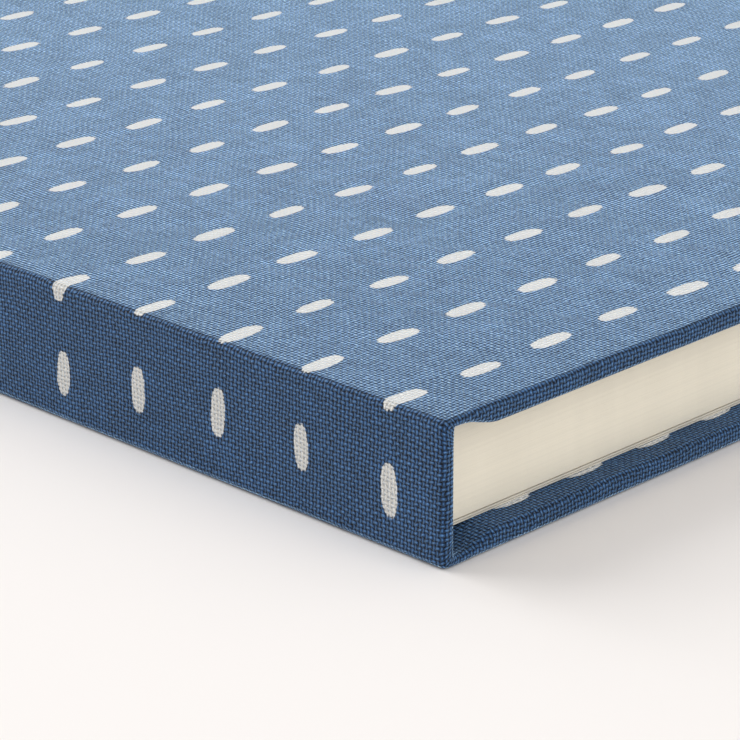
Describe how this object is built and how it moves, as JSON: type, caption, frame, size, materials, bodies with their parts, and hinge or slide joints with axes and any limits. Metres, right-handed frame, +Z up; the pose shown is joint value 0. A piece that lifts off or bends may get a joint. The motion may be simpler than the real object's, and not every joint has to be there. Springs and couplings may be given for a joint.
{
  "type": "pilot logbook",
  "caption": "Cloth-bound hardcover logbook with a flat square spine, hinged covers, endpapers and sewn page signatures that fan open.",
  "frame": {"origin": "middle of the footprint of the closed book's bounding box, on the surface that its back cover rests on", "axes": "+X from the spine to the fore edge, +Y from the tail to the head along the spine, +Z up out of the front cover"},
  "size_m": [0.166, 0.226, 0.018],
  "materials": {
    "printed_blue_cloth": "matte",
    "grey_board": "matte",
    "mull_gauze": "matte",
    "lining_paper": "matte",
    "linen_thread": "matte",
    "endpaper": "matte",
    "page_paper": "matte"
  },
  "bodies": {
    "text_block": {"spine_board": "grey_board", "spine_cloth": "printed_blue_cloth", "front_joint_cloth": "printed_blue_cloth", "back_joint_cloth": "printed_blue_cloth", "mull": "mull_gauze", "spine_lining": "lining_paper", "sewing_thread_1": "linen_thread", "sewing_thread_2": "linen_thread", "sewing_thread_3": "linen_thread", "sewing_thread_4": "linen_thread", "sewing_thread_5": "linen_thread", "front_flyleaf_fold": "endpaper", "back_flyleaf_fold": "endpaper", "signature_01_fold": "page_paper", "signature_02_fold": "page_paper", "signature_03_fold": "page_paper", "signature_04_fold": "page_paper", "signature_05_fold": "page_paper", "signature_06_fold": "page_paper", "signature_07_fold": "page_paper", "signature_08_fold": "page_paper", "signature_09_fold": "page_paper", "signature_10_fold": "page_paper"},
    "front_cover": {"front_board": "grey_board", "front_cover_cloth": "printed_blue_cloth", "front_mull_flange": "mull_gauze", "front_pastedown": "endpaper"},
    "back_cover": {"back_board": "grey_board", "back_cover_cloth": "printed_blue_cloth", "back_mull_flange": "mull_gauze", "back_pastedown": "endpaper"},
    "front_flyleaf": {"front_flyleaf_leaves": "endpaper"},
    "back_flyleaf": {"back_flyleaf_leaves": "endpaper"},
    "signature_01": {"signature_01_leaves": "page_paper"},
    "signature_02": {"signature_02_leaves": "page_paper"},
    "signature_03": {"signature_03_leaves": "page_paper"},
    "signature_04": {"signature_04_leaves": "page_paper"},
    "signature_05": {"signature_05_leaves": "page_paper"},
    "signature_06": {"signature_06_leaves": "page_paper"},
    "signature_07": {"signature_07_leaves": "page_paper"},
    "signature_08": {"signature_08_leaves": "page_paper"},
    "signature_09": {"signature_09_leaves": "page_paper"},
    "signature_10": {"signature_10_leaves": "page_paper"}
  },
  "joints": [
    {"name": "front_cover_hinge", "type": "hinge", "parent": "text_block", "child": "front_cover", "pos_m": [-0.0795, 0, 0.01815], "axis": [0, -1, 0], "range_deg": [0, 180]},
    {"name": "back_cover_hinge", "type": "hinge", "parent": "text_block", "child": "back_cover", "pos_m": [-0.0795, 0, -0.00015], "axis": [0, 1, 0], "range_deg": [0, 180]},
    {"name": "front_flyleaf_turn", "type": "hinge", "parent": "text_block", "child": "front_flyleaf", "pos_m": [-0.0795, 0, 0.01815], "axis": [0, -1, 0], "range_deg": [0, 177.8]},
    {"name": "back_flyleaf_turn", "type": "hinge", "parent": "text_block", "child": "back_flyleaf", "pos_m": [-0.0795, 0, -0.00015], "axis": [0, 1, 0], "range_deg": [0, 177.8]},
    {"name": "signature_01_turn", "type": "hinge", "parent": "text_block", "child": "signature_01", "pos_m": [-0.0795, 0, 0.01815], "axis": [0, -1, 0], "range_deg": [0, 175.1]},
    {"name": "signature_02_turn", "type": "hinge", "parent": "text_block", "child": "signature_02", "pos_m": [-0.0795, 0, 0.01815], "axis": [0, -1, 0], "range_deg": [0, 169.7]},
    {"name": "signature_03_turn", "type": "hinge", "parent": "text_block", "child": "signature_03", "pos_m": [-0.0795, 0, 0.01815], "axis": [0, -1, 0], "range_deg": [0, 164.3]},
    {"name": "signature_04_turn", "type": "hinge", "parent": "text_block", "child": "signature_04", "pos_m": [-0.0795, 0, 0.01815], "axis": [0, -1, 0], "range_deg": [0, 158.9]},
    {"name": "signature_05_turn", "type": "hinge", "parent": "text_block", "child": "signature_05", "pos_m": [-0.0795, 0, 0.01815], "axis": [0, -1, 0], "range_deg": [0, 153.5]},
    {"name": "signature_10_turn", "type": "hinge", "parent": "text_block", "child": "signature_10", "pos_m": [-0.0795, 0, -0.00015], "axis": [0, 1, 0], "range_deg": [0, 175.1]},
    {"name": "signature_09_turn", "type": "hinge", "parent": "text_block", "child": "signature_09", "pos_m": [-0.0795, 0, -0.00015], "axis": [0, 1, 0], "range_deg": [0, 169.7]},
    {"name": "signature_08_turn", "type": "hinge", "parent": "text_block", "child": "signature_08", "pos_m": [-0.0795, 0, -0.00015], "axis": [0, 1, 0], "range_deg": [0, 164.3]},
    {"name": "signature_07_turn", "type": "hinge", "parent": "text_block", "child": "signature_07", "pos_m": [-0.0795, 0, -0.00015], "axis": [0, 1, 0], "range_deg": [0, 158.9]},
    {"name": "signature_06_turn", "type": "hinge", "parent": "text_block", "child": "signature_06", "pos_m": [-0.0795, 0, -0.00015], "axis": [0, 1, 0], "range_deg": [0, 153.5]}
  ],
  "couplings": [
    {"joint": "front_flyleaf_turn", "follows": "front_cover_hinge", "ratio": 0.985},
    {"joint": "back_flyleaf_turn", "follows": "back_cover_hinge", "ratio": 0.985},
    {"joint": "signature_01_turn", "follows": "front_cover_hinge", "ratio": 0.97},
    {"joint": "signature_02_turn", "follows": "front_cover_hinge", "ratio": 0.94},
    {"joint": "signature_03_turn", "follows": "front_cover_hinge", "ratio": 0.91},
    {"joint": "signature_04_turn", "follows": "front_cover_hinge", "ratio": 0.88},
    {"joint": "signature_05_turn", "follows": "front_cover_hinge", "ratio": 0.85},
    {"joint": "signature_10_turn", "follows": "back_cover_hinge", "ratio": 0.97},
    {"joint": "signature_09_turn", "follows": "back_cover_hinge", "ratio": 0.94},
    {"joint": "signature_08_turn", "follows": "back_cover_hinge", "ratio": 0.91},
    {"joint": "signature_07_turn", "follows": "back_cover_hinge", "ratio": 0.88},
    {"joint": "signature_06_turn", "follows": "back_cover_hinge", "ratio": 0.85}
  ]
}
